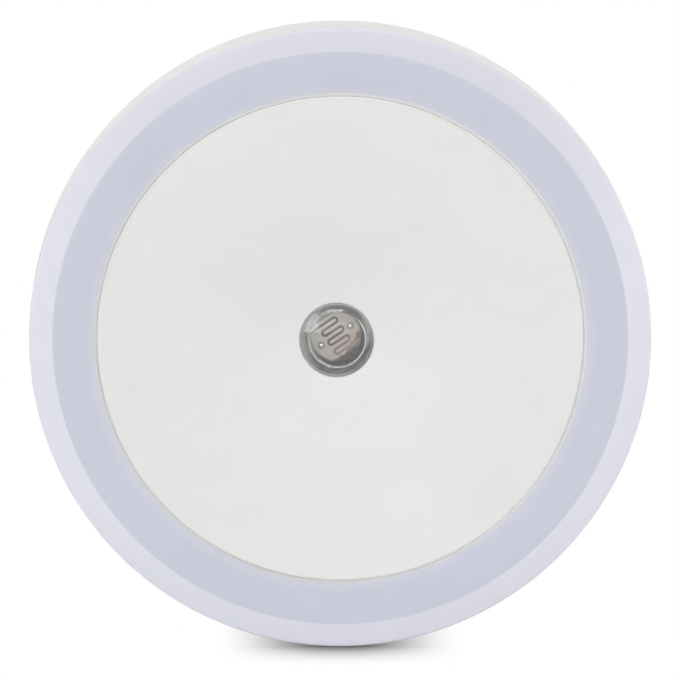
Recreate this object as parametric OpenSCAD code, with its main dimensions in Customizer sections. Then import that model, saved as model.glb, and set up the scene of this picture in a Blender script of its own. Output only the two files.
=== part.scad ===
// Round plug-in night light with a light sensor in the middle of its front disc.
// Each part is drawn on the bench with +Z out of the lit front and Z = 0 on the plug's face,
// and seat() then turns it so that the front looks along -Y and the pins point along +Y.

/* [Body] */
// Outer diameter of the diffuser and the rear housing
body_d = 63; // [62:0.5:66]
// Depth from the rear land to the face of the front disc
body_depth = 20; // [20:0.5:24]
// Wall thickness of the mouldings
wall = 1.6; // [1.4:0.1:1.8]
// Diameter of the flat land on the back of the housing
land_d = 48; // [47:0.5:49]
// Depth of the seam between diffuser and housing behind the front disc
seam_depth = 1.1; // [1.1:0.05:1.4]
// Depth at which the housing starts to curve in behind the front disc
knee_depth = 10; // [9:0.1:11]

/* [Front] */
// Diameter of the opaque front disc
disc_d = 49.2; // [48.6:0.1:49.4]
// Thickness of the front disc
disc_t = 1.8; // [1.6:0.1:2]
// How far the disc stands proud of the ring round it
disc_proud = 0.3; // [0.2:0.05:0.4]
// Width of the shallow groove round the disc
groove = 0.15; // [0.1:0.05:0.25]
// Width of the sloping lip round the ring, seen from the front
lip_w = 2.35; // [2:0.05:2.6]
// How far the lip slopes back
lip_drop = 0.35; // [0.3:0.05:0.45]

/* [Light sensor] */
// Diameter of the clear window over the sensor
window_d = 7.5; // [7.2:0.1:8]
// Sideways offset of the sensor from the disc's centre
sensor_x = -0.4; // [-0.5:0.05:0.5]
// Upward offset of the sensor from the disc's centre
sensor_y = -0.05; // [-0.5:0.05:0.5]
// Diameter of the photocell's ceramic
cell_d = 5.1; // [5:0.05:5.2]
// Width of the photocell across its two flats
cell_flats = 4.3; // [4.1:0.1:4.5]
// Pitch of the photocell's two leads
cell_pitch = 3.4; // [3.2:0.1:3.6]
// Angle of the photocell about its own axis
cell_turn = 34; // [0:1:90]
// Depth of the photocell's face behind the window's front
cell_depth = 4; // [3.4:0.1:4.2]

/* [Plug] */
// Distance from the plug's face to the housing's rear land
plug_h = 18; // [17.5:0.5:20]
// Width of the plug body
plug_w = 35.3; // [35:0.1:35.5]
// Thickness of the plug body
plug_t = 13.7; // [13.5:0.1:13.9]
// Diameter of the bare end of a pin
pin_d = 4; // [3.9:0.05:4.1]
// Length of a pin outside the plug's face
pin_len = 19; // [18.5:0.5:19.5]
// Distance between the two pins
pin_pitch = 19; // [18.6:0.1:19.2]
// Length of the insulating sleeve outside the plug's face
sleeve_len = 10; // [9:0.5:11]

/* [Electronics] */
// Diameter of the circuit board
board_d = 54.8; // [54:0.2:55]
// Thickness of the circuit board
board_t = 1.2; // [1:0.1:1.4]
// Diameter of the circle that the LEDs stand on
led_circle_d = 50.6; // [50:0.2:51]

/* [Hidden] */
$fn = 96;

// Thicknesses and lengths that the heights below follow from
adhesive_t = 0.15;
diffuser_floor_t = 1.45;
tongue_len = 2.6;
flange_sunk = 0.4;
flange_t = 1.2;
board_depth = 9.4;
bead_drop = 1.3;
groove_depth = 0.1;

// Heights on the bench, above the plug's face
z_land = plug_h;
z_front = plug_h + body_depth;
z_ring = z_front - disc_proud;
z_groove = z_ring - groove_depth;
z_seam = z_front - seam_depth;
z_knee = z_front - knee_depth;
z_disc_back = z_front - disc_t;
z_pocket = z_disc_back - adhesive_t;
z_diffuser_back = z_pocket - diffuser_floor_t;
z_tongue = z_seam - tongue_len;
z_bead = z_seam - bead_drop;
z_flange = z_land + flange_sunk;
z_recess = z_flange + flange_t;
z_floor = z_recess + wall;
z_board = z_front - board_depth;
z_board_top = z_board + board_t;

// Radii
body_r = body_d / 2;
land_r = land_d / 2;
disc_r = disc_d / 2;
disc_slack = 0.05;
pocket_r = disc_r + disc_slack;
groove_r = disc_r + groove;
lip_r = body_r - lip_w;
board_r = board_d / 2;
led_r = led_circle_d / 2;
flange_r = 19.5;
flange_gap = 0.3;
recess_r = flange_r + flange_gap;
snap_gap = 0.1;
tongue_t = 1.2;
tongue_r = body_r - wall - snap_gap;
under_r = tongue_r - tongue_t;

// Seam, bead and edges
seam_gap = 0.15;
bead = 0.25;
edge = 0.2;
disc_edge = 0.25;

// How far a post or boss reaches into the wall that it stands on, and cutters past a wall
joined = 0.4;
past = 1;

// Inside of the diffuser: the ring's thickness and the chamfers in its two corners
ring_t = 1.5;
fill = 0.6;
step_w = 1;
step_fill = 1.2;

// Adhesive under the disc
adhesive_margin = 1.4;
adhesive_hole_r = 9;

// Light sensor
window_r = window_d / 2;
window_proud = 0.15;
window_wall = 0.9;
window_face_t = 0.8;
window_flange_w = 1.05;
window_flange_r = window_r + window_flange_w;
window_flange_t = 0.9;
window_edge = 0.15;
disc_hole_slack = 0.05;
flange_slack = 0.1;
diffuser_hole_slack = 0.25;
sensor_sleeve_wall = 0.8;
z_window = z_front + window_proud;
window_len = 5;
z_window_end = z_window - window_len;
z_cell = z_window - cell_depth;
cell_t = 2;
electrode_t = 0.04;
electrode_gap = 0.26;
track_w = 0.22;
track_t = 0.05;
track_legs = 7;
track_step = 0.53;
track_reach = 1.1;
cell_lead_r = 0.25;
lead_tip = 0.16;
coating_t = 0.28;
coating_wall = 0.12;
coating_room = 0.17;
film_inset = 0.15;

// Plug
pin_r = pin_d / 2;
core_r = 1.5;
sleeve_r = 1.8;
sleeve_seat = 2;
collar_r = 2.2;
collar_z = 4;
collar_h = 3;
pin_top = 11.5;
cup_r = 0.9;
cup_depth = 2.5;
plug_end_t = 3;
pin_boss_r = 3.4;
pin_boss_h = 9;
plug_wall = 1.7;
plug_flat_w = 26.1;
plug_corner_r = 1.6;
plug_screw_x = 14.2;
plug_screw_r = 1.2;
plug_screw_len = 7;
plug_screw_head = [2.3, 1.6];
plug_post_r = 2.6;
hatch_size = [22, 10];
hatch_corner_r = 1.5;

// Board fixings
post_circle_r = 23.4;
post_turns = [30, 150, 270];
post_r = 2.6;
board_screw_r = 1;
board_screw_len = 6;
board_screw_head = [2, 1.4];
hole_slack = 0.15;

// LED package
led_l = 3.5;
led_w = 2.8;
led_h = 0.65;
phosphor_l = 2.7;
phosphor_w = 2.1;
phosphor_t = 0.3;
phosphor_corner_r = 0.5;
led_count = 6;

// Through-hole and surface-mounted parts, on the back of the board: [x, y] of each centre.
// A leg's three sizes are its width, the length of its foot and its rise to the package.
film_size = [12.4, 5, 10.2];
film_corner_r = 1;
film_pitch = 10;
film_stand_off = 1.4;
film_lead_r = 0.3;
stand_off = 0.3;
lead_end = 0.4;
lead_reach = 1.8;
lead_hole_r = 0.45;
electro_at = [0, 12.6];
electro_r = 2.5;
electro_len = 11;
electro_pitch = 2;
can_wall = 0.12;
can_lip = 0.2;
vent_w = 0.16;
vent_depth = 0.1;
bung_t = 1.2;
bung_sunk = 0.4;
fuse_at = [1, -10.4];
fuse_size = [1.6, 9];
bleed_at = [0, -15.6];
bleed_size = [1.15, 6.3];
axial_lead_r = 0.28;
axial_waist = 0.15;
bridge_at = [15.2, 8.6];
bridge_turn = 20;
bridge_size = [4.7, 3.9, 2.4];
bridge_gap = 0.15;
bridge_leg = [0.6, 0.8, 1.2];
bridge_leg_pitch = 2.54;
dimple_r = 0.4;
dimple_depth = 0.15;
dimple_inset = 0.9;
transistor_at = [-15.4, 8.8];
transistor_turn = -30;
transistor_size = [2.9, 1.35, 1];
transistor_gap = 0.1;
transistor_leg = [0.42, 0.4, 0.5];
transistor_leg_x = 0.95;
leg_t = 0.15;
leg_root = 0.3;
zener_at = [-16.6, 2.6];
zener_turn = 75;
zener_size = [0.75, 2.5];
zener_waist = 0.05;
zener_cap = 0.45;
chip_at = [[16.6, 2.6], [17.6, -2.4], [-17.6, -2.4], [-15.2, -7.2]];
chip_size = [2, 1.25, 0.55];
chip_end = 0.35;
joint_r = 0.85;
joint_tip_r = 0.4;
joint_h = 0.6;

// Wires from the pins to the board
wire_r = 0.7;
wire_core_r = 0.35;
wire_bare = 1.4;
wire_gap = 0.1;
wire_sides = 8;
wire_bow = 1.6;
wire_rings = 20;
wire_hole_x = 10.6;

// ---------------------------------------------------------------- shared shapes

// Points on a round or elliptical arc about c, from angle a0 to a1 in n steps
function arc(c, rx, ry, a0, a1, n) =
    [for (i = [0:n]) let (a = a0 + (a1 - a0) * i / n) [c[0] + rx * cos(a), c[1] + ry * sin(a)]];

function unit(v) = v / norm(v);

// A convex counterclockwise outline with each of its corners rounded to radius r in n steps
function rounded(pts, r, n) =
    [for (k = [0:len(pts) - 1])
        let (
            p = pts[k],
            u = unit(pts[(k + len(pts) - 1) % len(pts)] - p),
            v = unit(pts[(k + 1) % len(pts)] - p),
            half = acos(u * v) / 2,
            c = p + unit(u + v) * r / sin(half),
            t = p + u * r / tan(half) - c,
            a0 = atan2(t[1], t[0]),
            sweep = 180 - 2 * half
        )
        each [for (i = [0:n]) c + r * [cos(a0 + sweep * i / n), sin(a0 + sweep * i / n)]]];

function box_outline(w, h) = [[w / 2, -h / 2], [w / 2, h / 2], [-w / 2, h / 2], [-w / 2, -h / 2]];

// The plug body's eight-sided outline, drawn in by d all round
function plug_outline(d) =
    let (
        w = plug_w / 2 - d,
        h = plug_t / 2 - d,
        flat = plug_flat_w / 2 - d * tan(22.5),
        side = h - (w - flat)
    )
    [[w, -side], [w, side], [flat, h], [-flat, h], [-w, side], [-w, -side], [-flat, -h], [flat, -h]];

// Turns a part from the bench to its place in use
module seat() {
    rotate([90, 0, 0])
        children();
}

module at_sensor() {
    translate([sensor_x, sensor_y, 0])
        children();
}

module tube(r_out, r_in, h) {
    difference() {
        cylinder(r = r_out, h = h);
        translate([0, 0, -past])
            cylinder(r = r_in, h = h + 2 * past);
    }
}

module box(size, corner) {
    linear_extrude(size[2])
        polygon(rounded(box_outline(size[0], size[1]), corner, 3));
}

module around(turns, r) {
    for (turn = turns)
        rotate([0, 0, turn])
            translate([r, 0, 0])
                children();
}

// A pan head screw with a cross recess, its head's underside at Z = 0 and its shank below.
// The head's two sizes are its radius and its height.
module screw(shank_r, shank_len, head) {
    rim_h = head[1] * 0.6;
    slot_w = 0.45;
    slot_len = head[0] * 1.2;
    difference() {
        union() {
            cylinder(r = head[0], h = rim_h);
            translate([0, 0, rim_h])
                cylinder(r1 = head[0], r2 = head[0] * 0.7, h = head[1] - rim_h);
            translate([0, 0, -shank_len + shank_r])
                cylinder(r = shank_r, h = shank_len - shank_r);
            translate([0, 0, -shank_len])
                cylinder(r1 = shank_r * 0.3, r2 = shank_r, h = shank_r);
        }
        for (turn = [0, 90])
            rotate([0, 0, turn])
                translate([-slot_len / 2, -slot_w / 2, head[1] * 0.35])
                    cube([slot_len, slot_w, head[1]]);
    }
}

// Opening for the wires, through the floor of the housing and the flange of the plug body
module hatch(z, wall_t) {
    translate([0, 0, z - past])
        linear_extrude(wall_t + 2 * past)
            polygon(rounded(box_outline(hatch_size[0], hatch_size[1]), hatch_corner_r, 4));
}

// A lead that runs out along +X for reach, bends up and climbs to height rise
module bent_lead(r, reach, rise) {
    bend = 3 * r;
    rotate([0, 90, 0])
        cylinder(r = r, h = reach - bend, $fn = 32);
    translate([reach - bend, 0, bend])
        rotate([90, 0, 0])
            rotate([0, 0, -90])
                rotate_extrude(angle = 90)
                    translate([bend, 0])
                        circle(r = r, $fn = 32);
    translate([reach, 0, bend])
        cylinder(r = r, h = rise - bend, $fn = 32);
}

// One ring of points about p, square to dir
function ring(p, dir, r, sides) =
    let (
        x = unit(cross([0, 1, 0], dir)),
        y = cross(dir, x)
    )
    [for (s = [0:sides - 1]) p + r * (cos(360 * s / sides) * x + sin(360 * s / sides) * y)];

// A tube along the path, whose first and last rings are square to Z
module swept_tube(path, r, sides) {
    last = len(path) - 1;
    rings = [for (i = [0:last])
        let (along = i == 0 || i == last ? [0, 0, 1] : unit(path[i + 1] - path[i - 1]))
        ring(path[i], along, r, sides)];
    points = [for (one = rings) each one];
    sides_faces = [for (i = [0:last - 1], s = [0:sides - 1])
        let (a = i * sides + s, b = i * sides + (s + 1) % sides)
        each [[a, b + sides, b], [a, a + sides, b + sides]]];
    ends = [
        [for (s = [0:sides - 1]) s],
        [for (s = [sides - 1:-1:0]) last * sides + s]
    ];
    polyhedron(points, concat(sides_faces, ends));
}

// ---------------------------------------------------------------- rear housing and plug

// Outer or inner surface of the dish, from the land's edge out to the knee
function dish(inset, a0, a1) =
    arc([land_r, z_knee], body_r - land_r - inset, z_knee - z_land - inset, a0, a1, 14);

module housing_profile() {
    inner_r = body_r - wall;
    polygon(concat(
        [[0, z_recess], [recess_r, z_recess], [recess_r, z_land]],
        dish(0, -90, 0),
        [[body_r, z_seam - seam_gap - edge], [body_r - edge, z_seam - seam_gap]],
        [[inner_r, z_seam - seam_gap]],
        [[inner_r, z_bead + bead], [inner_r + bead, z_bead], [inner_r, z_bead - bead]],
        dish(wall, 0, -90),
        [[recess_r + wall, z_land + wall], [recess_r + wall, z_floor], [0, z_floor]]
    ));
}

module board_posts() {
    around(post_turns, post_circle_r)
        translate([0, 0, z_land + wall - joined])
            cylinder(r = post_r, h = z_board - z_land - wall + joined);
}

module board_post_bores() {
    around(post_turns, post_circle_r)
        translate([0, 0, z_board_top - board_screw_len])
            cylinder(r = board_screw_r, h = board_screw_len);
}

module rear_housing() {
    color("#e7e8e4")
        seat()
            difference() {
                union() {
                    rotate_extrude()
                        housing_profile();
                    board_posts();
                }
                board_post_bores();
                hatch(z_recess, wall);
                for (x = [-plug_screw_x, plug_screw_x])
                    translate([x, 0, z_recess - past])
                        cylinder(r = plug_screw_r + hole_slack, h = wall + 2 * past);
            }
}

module pin_bores() {
    for (x = [-pin_pitch / 2, pin_pitch / 2])
        translate([x, 0, 0]) {
            translate([0, 0, -past])
                cylinder(r = sleeve_r, h = sleeve_seat + past);
            cylinder(r = core_r, h = pin_boss_h + past);
            translate([0, 0, collar_z])
                cylinder(r = collar_r, h = collar_h);
        }
}

module plug_shell() {
    difference() {
        linear_extrude(z_flange)
            polygon(rounded(plug_outline(0), plug_corner_r, 4));
        translate([0, 0, plug_end_t])
            linear_extrude(z_flange)
                polygon(rounded(plug_outline(plug_wall), plug_corner_r / 2, 3));
    }
}

module plug_body() {
    post_base = plug_end_t - joined;
    color("#e4e5e1")
        seat()
            difference() {
                union() {
                    plug_shell();
                    translate([0, 0, z_flange])
                        cylinder(r = flange_r, h = flange_t);
                    for (x = [-pin_pitch / 2, pin_pitch / 2])
                        translate([x, 0, post_base])
                            cylinder(r = pin_boss_r, h = pin_boss_h - post_base);
                    for (x = [-plug_screw_x, plug_screw_x])
                        translate([x, 0, post_base])
                            cylinder(r = plug_post_r, h = z_flange + joined - post_base);
                }
                hatch(z_flange, flange_t);
                pin_bores();
                for (x = [-plug_screw_x, plug_screw_x])
                    translate([x, 0, z_floor - plug_screw_len])
                        cylinder(r = plug_screw_r, h = plug_screw_len);
            }
}

module plug_screws() {
    color("#b9bcc0")
        seat()
            for (x = [-plug_screw_x, plug_screw_x])
                translate([x, 0, z_floor])
                    screw(plug_screw_r, plug_screw_len, plug_screw_head);
}

// A pin with a round tip, a reduced neck inside its sleeve, a moulded-in collar and a solder cup
module plug_pin(x) {
    color("#c9c7bf")
        seat()
            translate([x, 0, 0])
                difference() {
                    union() {
                        translate([0, 0, pin_r - pin_len])
                            sphere(r = pin_r);
                        translate([0, 0, pin_r - pin_len])
                            cylinder(r = pin_r, h = pin_len - pin_r - sleeve_len);
                        translate([0, 0, -sleeve_len])
                            cylinder(r = core_r, h = sleeve_len + pin_top);
                        translate([0, 0, collar_z])
                            cylinder(r = collar_r, h = collar_h);
                    }
                    translate([0, 0, pin_top - cup_depth])
                        cylinder(r = cup_r, h = cup_depth + past);
                }
}

module pin_sleeve(x) {
    color("#2c2d30")
        seat()
            translate([x, 0, -sleeve_len])
                tube(sleeve_r, core_r, sleeve_len + sleeve_seat);
}

// ---------------------------------------------------------------- wires

// Centreline from a pin's cup to the board: straight, bowed towards the plug's wall, straight
function wire_path(side, z0, z1) =
    [for (i = [0:wire_rings])
        let (
            t = i / wire_rings,
            ease = t * t * (3 - 2 * t),
            x = pin_pitch / 2 + (wire_hole_x - pin_pitch / 2) * ease,
            bow = wire_bow * pow(sin(180 * ease), 2)
        )
        [side * x, -bow, z0 + (z1 - z0) * t]];

module insulated_wire(side, tint) {
    color(tint)
        seat()
            swept_tube(
                wire_path(side, pin_top + wire_gap, z_board - wire_bare), wire_r, wire_sides
            );
}

module wire_ends() {
    color("#cfcfcf")
        seat()
            for (side = [-1, 1]) {
                translate([side * pin_pitch / 2, 0, pin_top - cup_depth])
                    cylinder(r = wire_core_r, h = cup_depth + wire_gap, $fn = 32);
                translate([side * wire_hole_x, 0, z_board - wire_bare])
                    cylinder(r = wire_core_r, h = wire_bare + board_t + lead_end, $fn = 32);
            }
}

// ---------------------------------------------------------------- circuit board

// Centres of the holes for the parts whose leads go through the board
function lead_holes() = concat(
    [[-film_pitch / 2, 0], [film_pitch / 2, 0]],
    [for (s = [-1, 1])
        [electro_at[0] + electro_len / 2 + lead_reach, electro_at[1] + s * electro_pitch / 2]],
    [for (s = [-1, 1]) [fuse_at[0] + s * (fuse_size[1] / 2 + lead_reach), fuse_at[1]]],
    [for (s = [-1, 1]) [bleed_at[0] + s * (bleed_size[1] / 2 + lead_reach), bleed_at[1]]],
    [for (s = [-1, 1]) [s * wire_hole_x, 0]]
);

function cell_holes() =
    [for (s = [-1, 1])
        [sensor_x + s * cell_pitch / 2 * cos(cell_turn), sensor_y + s * cell_pitch / 2 * sin(cell_turn)]];

module circuit_board() {
    color("#f2f2ee")
        seat()
            difference() {
                translate([0, 0, z_board])
                    cylinder(r = board_r, h = board_t);
                around(post_turns, post_circle_r)
                    translate([0, 0, z_board - past])
                        cylinder(r = board_screw_r + hole_slack, h = board_t + 2 * past);
                for (p = concat(lead_holes(), cell_holes()))
                    translate([p[0], p[1], z_board - past])
                        cylinder(r = lead_hole_r, h = board_t + 2 * past, $fn = 32);
            }
}

module board_screws() {
    color("#b9bcc0")
        seat()
            around(post_turns, post_circle_r)
                translate([0, 0, z_board_top])
                    screw(board_screw_r, board_screw_len, board_screw_head);
}

module led_seat(i) {
    rotate([0, 0, 360 * i / led_count])
        translate([led_r, 0, z_board_top])
            rotate([0, 0, 90])
                children();
}

module led(i) {
    color("#f7f7f2")
        seat()
            led_seat(i)
                difference() {
                    translate([-led_l / 2, -led_w / 2, 0])
                        cube([led_l, led_w, led_h]);
                    translate([0, 0, led_h - phosphor_t])
                        box([phosphor_l, phosphor_w, phosphor_t + past], phosphor_corner_r);
                }
}

module led_phosphors() {
    color("#f2d443")
        seat()
            for (i = [0:led_count - 1])
                led_seat(i)
                    translate([0, 0, led_h - phosphor_t])
                        box([phosphor_l, phosphor_w, phosphor_t], phosphor_corner_r);
}

// Cones of solder round each lead: on the board's front, and on its back for the photocell
module solder_joints() {
    color("#c4c7c9")
        seat() {
            for (p = lead_holes())
                translate([p[0], p[1], z_board_top])
                    difference() {
                        cylinder(r1 = joint_r, r2 = joint_tip_r, h = joint_h);
                        translate([0, 0, -past])
                            cylinder(r = wire_core_r, h = joint_h + 2 * past, $fn = 32);
                    }
            for (p = cell_holes())
                translate([p[0], p[1], z_board - joint_h])
                    difference() {
                        cylinder(r1 = joint_tip_r, r2 = joint_r, h = joint_h);
                        translate([0, 0, -past])
                            cylinder(r = cell_lead_r, h = joint_h + 2 * past, $fn = 32);
                    }
        }
}

// ---------------------------------------------------------------- parts on the back of the board

module film_capacitor() {
    color("#8c3b2e")
        seat()
            translate([0, 0, z_board - film_stand_off - film_size[2]])
                box(film_size, film_corner_r);
}

module film_capacitor_leads() {
    color("#c4c7c9")
        seat()
            for (x = [-film_pitch / 2, film_pitch / 2])
                translate([x, 0, z_board - film_stand_off])
                    cylinder(r = film_lead_r, h = film_stand_off + board_t + lead_end, $fn = 32);
}

module at_electrolytic() {
    translate([
        electro_at[0] - electro_len / 2, electro_at[1], z_board - stand_off - electro_r
    ])
        rotate([0, 90, 0])
            children();
}

module electrolytic_can() {
    color("#c8cacc")
        seat()
            at_electrolytic()
                difference() {
                    cylinder(r = electro_r - can_wall, h = electro_len - bung_t - bung_sunk);
                    for (turn = [0, 60, 120])
                        rotate([0, 0, turn])
                            translate([-electro_r * 0.6, -vent_w / 2, -past])
                                cube([electro_r * 1.2, vent_w, past + vent_depth]);
                }
}

module electrolytic_sleeve() {
    color("#26335c")
        seat()
            at_electrolytic()
                translate([0, 0, can_lip])
                    tube(electro_r, electro_r - can_wall, electro_len - 2 * can_lip);
}

module electrolytic_bung() {
    color("#2a2a2c")
        seat()
            at_electrolytic()
                translate([0, 0, electro_len - bung_t - bung_sunk])
                    cylinder(r = electro_r - can_wall, h = bung_t);
}

module electrolytic_leads() {
    color("#c4c7c9")
        seat()
            for (s = [-1, 1])
                translate([
                    electro_at[0] + electro_len / 2 - bung_sunk,
                    electro_at[1] + s * electro_pitch / 2,
                    z_board - stand_off - electro_r
                ])
                    bent_lead(
                        cell_lead_r, lead_reach + bung_sunk,
                        stand_off + electro_r + board_t + lead_end
                    );
}

// A body with a thicker cap at each end. Its two sizes are its radius and its length.
module axial_body(at, size) {
    r = size[0];
    len = size[1];
    end_r = r * 0.4;
    cap = len * 0.24;
    slope = 2 * axial_waist;
    translate([at[0] - len / 2, at[1], z_board - stand_off - r])
        rotate([0, 90, 0])
            rotate_extrude()
                polygon(concat(
                    [[0, 0]],
                    arc([r - end_r, end_r], end_r, end_r, -90, 0, 4),
                    [[r, cap], [r - axial_waist, cap + slope]],
                    [[r - axial_waist, len - cap - slope], [r, len - cap]],
                    arc([r - end_r, len - end_r], end_r, end_r, 0, 90, 4),
                    [[0, len]]
                ));
}

module axial_leads(at, size) {
    for (turn = [0, 180])
        translate([at[0], at[1], z_board - stand_off - size[0]])
            rotate([0, 0, turn])
                translate([size[1] / 2, 0, 0])
                    bent_lead(
                        axial_lead_r, lead_reach, stand_off + size[0] + board_t + lead_end
                    );
}

module fuse_resistor() {
    color("#5f8f7a")
        seat()
            axial_body(fuse_at, fuse_size);
}

module fuse_resistor_leads() {
    color("#c4c7c9")
        seat()
            axial_leads(fuse_at, fuse_size);
}

module bleed_resistor() {
    color("#d9c49a")
        seat()
            axial_body(bleed_at, bleed_size);
}

module bleed_resistor_leads() {
    color("#c4c7c9")
        seat()
            axial_leads(bleed_at, bleed_size);
}

// Puts a surface-mounted part on the back of the board, with its own +Z away from the board
module on_board_back(at, turn) {
    translate([at[0], at[1], z_board])
        rotate([180, 0, turn])
            children();
}

// A gull-wing leg, its upright at X = 0, its foot along +X and its root towards the package
module gull_leg(leg) {
    width = leg[0];
    foot = leg[1];
    rise = leg[2];
    translate([0, -width / 2, 0])
        cube([foot, width, leg_t]);
    translate([0, -width / 2, leg_t])
        cube([leg_t, width, rise - leg_t]);
    translate([-leg_root, -width / 2, rise])
        cube([leg_root + leg_t, width, leg_t]);
}

module bridge_rectifier() {
    color("#242528")
        seat()
            on_board_back(bridge_at, bridge_turn)
                translate([0, 0, bridge_gap])
                    difference() {
                        box(bridge_size, 0.2);
                        translate([
                            dimple_inset - bridge_size[0] / 2, 0, bridge_size[2] - dimple_depth
                        ])
                            cylinder(r = dimple_r, h = past, $fn = 32);
                    }
}

module bridge_rectifier_legs() {
    color("#c4c7c9")
        seat()
            on_board_back(bridge_at, bridge_turn)
                for (turn = [90, 270], s = [-1, 1])
                    rotate([0, 0, turn])
                        translate([bridge_size[1] / 2 + leg_root, s * bridge_leg_pitch / 2, 0])
                            gull_leg(bridge_leg);
}

module transistor() {
    color("#242528")
        seat()
            on_board_back(transistor_at, transistor_turn)
                translate([0, 0, transistor_gap])
                    box(transistor_size, 0.1);
}

module transistor_legs() {
    legs = [[transistor_leg_x, 90], [-transistor_leg_x, 90], [0, 270]];
    color("#c4c7c9")
        seat()
            on_board_back(transistor_at, transistor_turn)
                for (leg = legs)
                    rotate([0, 0, leg[1]])
                        translate([transistor_size[1] / 2 + leg_root, leg[0], 0])
                            gull_leg(transistor_leg);
}

module at_zener() {
    translate([zener_at[0], zener_at[1], z_board - zener_size[0]])
        rotate([0, 90, zener_turn])
            children();
}

module zener_diode() {
    color("#d98a5a")
        seat()
            at_zener()
                translate([0, 0, -zener_size[1] / 2])
                    cylinder(r = zener_size[0] - zener_waist, h = zener_size[1]);
}

module zener_caps() {
    color("#c4c7c9")
        seat()
            at_zener()
                for (z = [-zener_size[1] / 2 - zener_cap, zener_size[1] / 2])
                    translate([0, 0, z])
                        cylinder(r = zener_size[0], h = zener_cap);
}

module chip_resistors() {
    color("#2b2c30")
        seat()
            for (at = chip_at)
                on_board_back(at, 90)
                    translate([chip_end - chip_size[0] / 2, -chip_size[1] / 2, 0])
                        cube([chip_size[0] - 2 * chip_end, chip_size[1], chip_size[2]]);
}

module chip_resistor_ends() {
    color("#c4c7c9")
        seat()
            for (at = chip_at, x = [-chip_size[0] / 2, chip_size[0] / 2 - chip_end])
                on_board_back(at, 90)
                    translate([x, -chip_size[1] / 2, 0])
                        cube([chip_end, chip_size[1], chip_size[2]]);
}

// ---------------------------------------------------------------- photocell and its window

module at_cell() {
    at_sensor()
        translate([0, 0, z_cell])
            rotate([0, 0, cell_turn])
                children();
}

// The photocell's outline, a circle with two flats, drawn in by inset all round
module cell_disc(inset, h) {
    flats = cell_flats - 2 * inset;
    intersection() {
        cylinder(r = cell_d / 2 - inset, h = h);
        translate([-cell_d / 2, -flats / 2, -past])
            cube([cell_d, flats, h + 2 * past]);
    }
}

module lead_bores(z, h) {
    for (s = [-1, 1])
        translate([s * cell_pitch / 2, 0, z - past])
            cylinder(r = cell_lead_r, h = h + 2 * past, $fn = 32);
}

module photocell_body() {
    color("#d8d2c4")
        seat()
            at_cell()
                difference() {
                    translate([0, 0, -cell_t])
                        cell_disc(0, cell_t);
                    lead_bores(-cell_t, cell_t);
                }
}

// Straight legs joined by half rings. The first and the last leg run off the face's edge, so
// that the track parts the two electrodes.
module track_shape(width) {
    first = -(track_legs - 1) / 2 * track_step;
    turn_x = track_reach - track_step / 2 - track_w / 2;
    for (k = [0:track_legs - 1]) {
        x0 = k == track_legs - 1 ? -cell_d / 2 : -turn_x;
        x1 = k == 0 ? cell_d / 2 : turn_x;
        translate([x0, first + k * track_step - width / 2])
            square([x1 - x0, width]);
    }
    for (k = [0:track_legs - 2])
        translate([k % 2 == 0 ? -turn_x : turn_x, first + (k + 0.5) * track_step])
            rotate([0, 0, k % 2 == 0 ? 90 : -90])
                difference() {
                    circle(r = track_step / 2 + width / 2, $fn = 48);
                    circle(r = track_step / 2 - width / 2, $fn = 48);
                    translate([-track_step, -2 * track_step])
                        square([2 * track_step, 2 * track_step]);
                }
}

module photocell_track() {
    color("#6d625c")
        seat()
            at_cell()
                intersection() {
                    cell_disc(film_inset, track_t);
                    linear_extrude(track_t)
                        track_shape(track_w);
                }
}

// Metal film on both sides of the track, cut through where the track runs
module photocell_electrodes() {
    color("#bdb3ae")
        seat()
            at_cell()
                difference() {
                    cell_disc(film_inset, electrode_t);
                    translate([0, 0, -past])
                        linear_extrude(2 * past)
                            track_shape(electrode_gap);
                    lead_bores(0, electrode_t);
                }
}

module photocell_leads() {
    color("#c9cbcc")
        seat()
            at_cell()
                for (s = [-1, 1])
                    translate([s * cell_pitch / 2, 0, 0]) {
                        translate([0, 0, z_board - joint_h - lead_end - z_cell])
                            cylinder(
                                r = cell_lead_r, h = z_cell - z_board + joint_h + lead_end, $fn = 32
                            );
                        cylinder(r1 = cell_lead_r, r2 = lead_tip, h = lead_tip, $fn = 32);
                    }
}

// Clear resin over the face, with room for the track and the lead ends under it
module photocell_coating() {
    color("#e8e0d8", 0.4)
        seat()
            at_cell()
                difference() {
                    cell_disc(0, coating_t);
                    translate([0, 0, -past])
                        cell_disc(coating_wall, past + coating_room);
                }
}

module sensor_sleeve() {
    color("#55565a")
        seat()
            at_sensor()
                translate([0, 0, z_board_top])
                    tube(window_r, window_r - sensor_sleeve_wall, z_window_end - z_board_top);
}

module sensor_window() {
    bore_r = window_r - window_wall;
    z_flange_top = z_pocket + window_flange_t;
    color("#dfe3e4", 0.5)
        seat()
            at_sensor()
                rotate_extrude()
                    polygon(concat(
                        [[0, z_window - window_face_t], [bore_r, z_window - window_face_t]],
                        [[bore_r, z_window_end], [window_r, z_window_end], [window_r, z_pocket]],
                        [[window_flange_r, z_pocket], [window_flange_r, z_flange_top]],
                        [[window_r, z_flange_top]],
                        arc(
                            [window_r - window_edge, z_window - window_edge],
                            window_edge, window_edge, 0, 90, 5
                        ),
                        [[0, z_window]]
                    ));
}

// ---------------------------------------------------------------- front

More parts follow.
